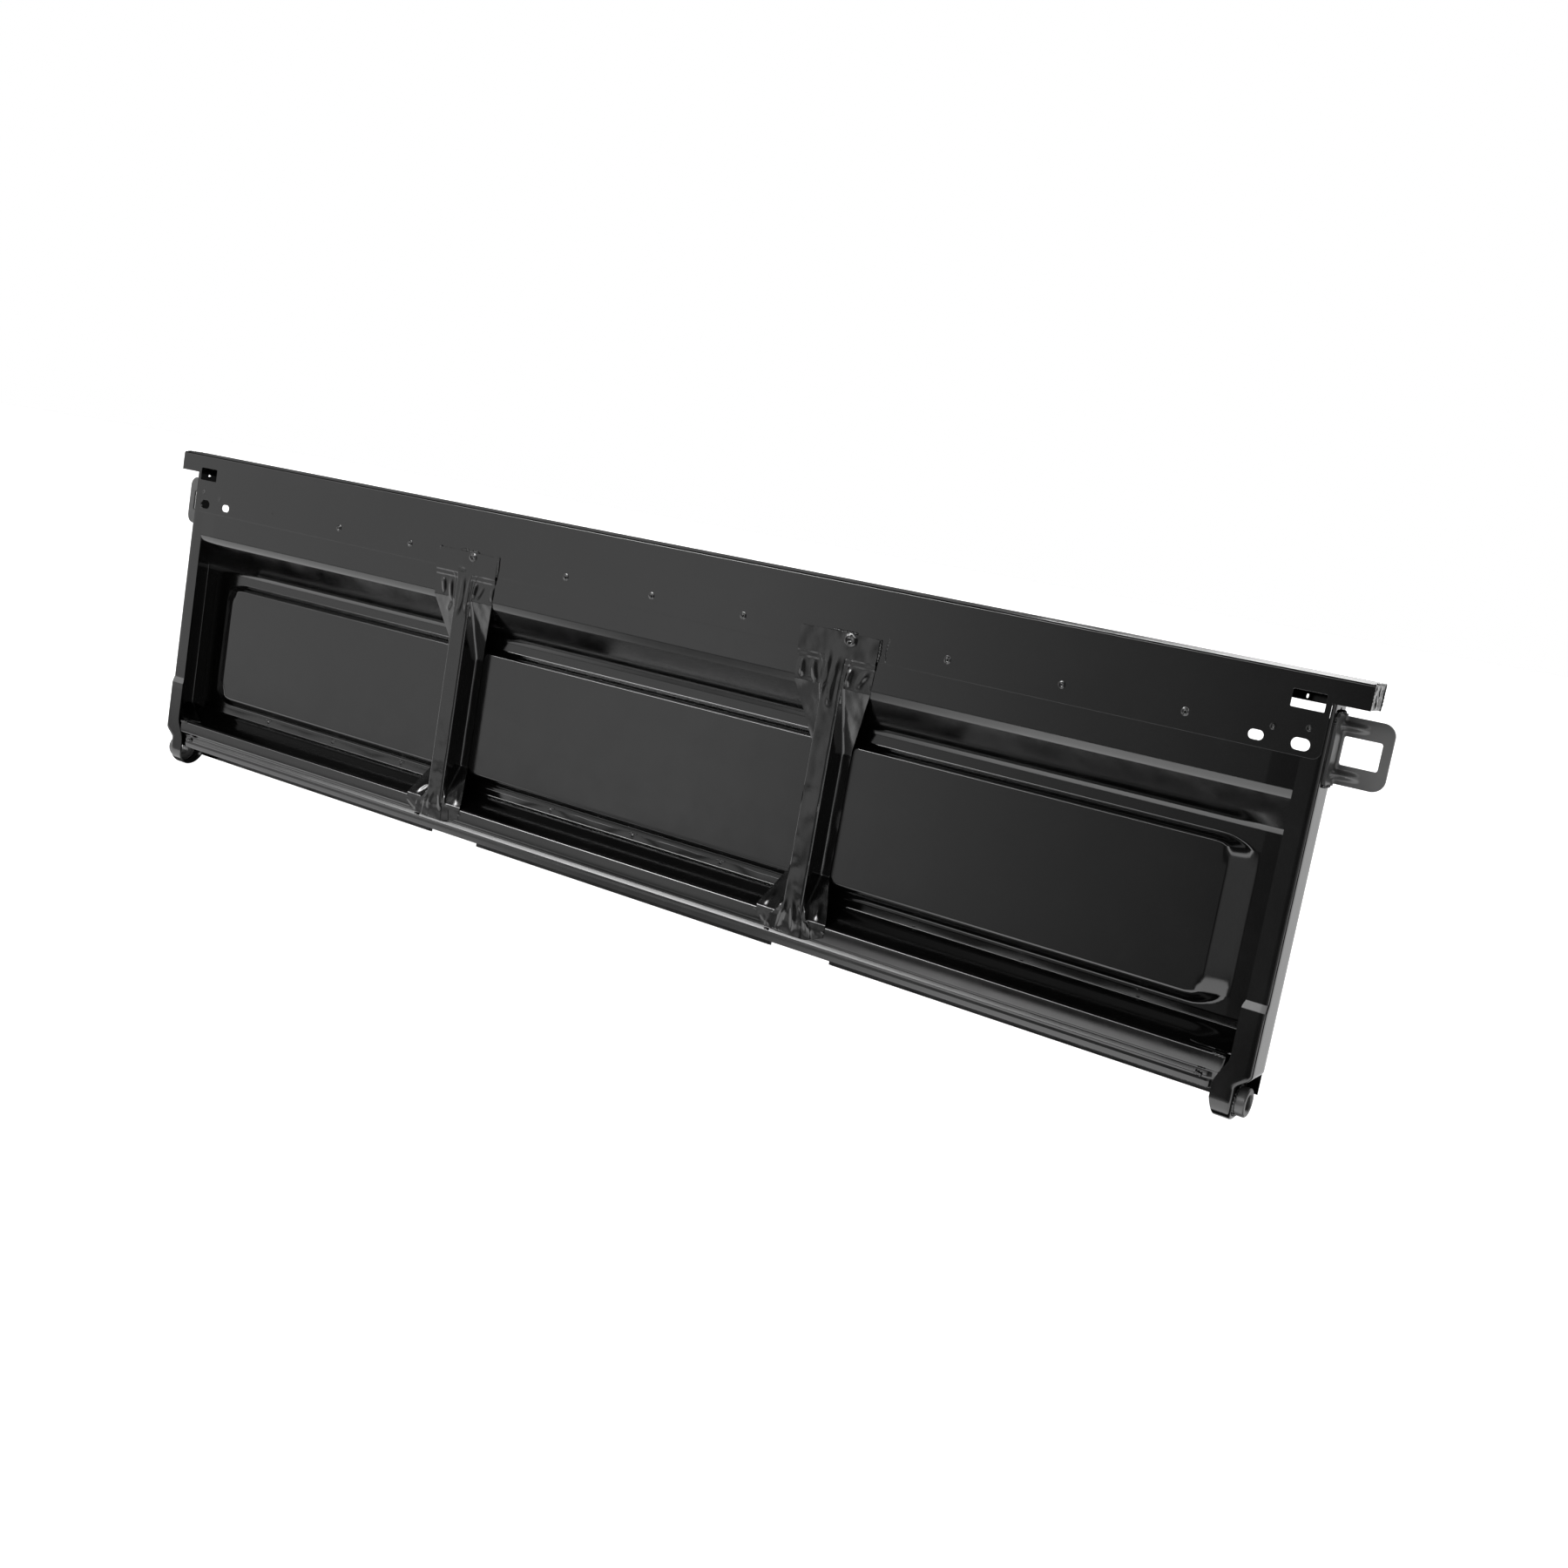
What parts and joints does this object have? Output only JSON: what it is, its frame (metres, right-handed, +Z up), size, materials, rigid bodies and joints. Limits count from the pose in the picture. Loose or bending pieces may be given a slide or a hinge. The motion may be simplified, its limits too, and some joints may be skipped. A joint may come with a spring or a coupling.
{
  "type": "pickup tailgate shell",
  "caption": "Black welded sheet-steel pickup tailgate shell seen from its inner side: top rail, pressed panel, hat braces, side channels, latch loops and hinge ears.",
  "frame": {"origin": "bottom centre of the whole gate, halfway along its length and its depth, level with the bottom of the hinge ears", "axes": "+X along the gate, -Y towards the inner (bed) side, +Z up with the gate closed"},
  "size_m": [1.688, 0.042, 0.433],
  "materials": {
    "coated_sheet": "semi-gloss black dip coating on rolled sheet",
    "coated_panel": "semi-gloss black dip coating on pressed sheet",
    "coated_frame": "semi-gloss black dip coating on folded sheet",
    "coated_brace": "semi-gloss black dip coating on drawn, wrinkled sheet",
    "coated_fitting": "gloss black dip coating on thick plate",
    "coated_weld": "gloss black dip coating over rough weld metal"
  },
  "bodies": {
    "root": {"top_rail": "coated_sheet", "left_rail_end_cap": "coated_sheet", "right_rail_end_cap": "coated_sheet", "main_panel": "coated_panel", "bottom_rail": "coated_panel", "left_side_channel": "coated_frame", "right_side_channel": "coated_frame", "left_brace": "coated_brace", "right_brace": "coated_brace", "left_latch_loop": "coated_fitting", "right_latch_loop": "coated_fitting", "left_hinge_plate": "coated_fitting", "right_hinge_plate": "coated_fitting", "left_hinge_bush": "coated_fitting", "right_hinge_bush": "coated_fitting", "left_corner_gusset": "coated_frame", "right_corner_gusset": "coated_frame", "band_spot_welds": "coated_weld", "flange_spot_welds": "coated_weld", "left_loop_welds": "coated_weld", "right_loop_welds": "coated_weld", "left_brace_welds": "coated_weld", "right_brace_welds": "coated_weld", "rail_end_welds": "coated_weld", "left_bush_weld": "coated_weld", "right_bush_weld": "coated_weld"}
  },
  "joints": []
}
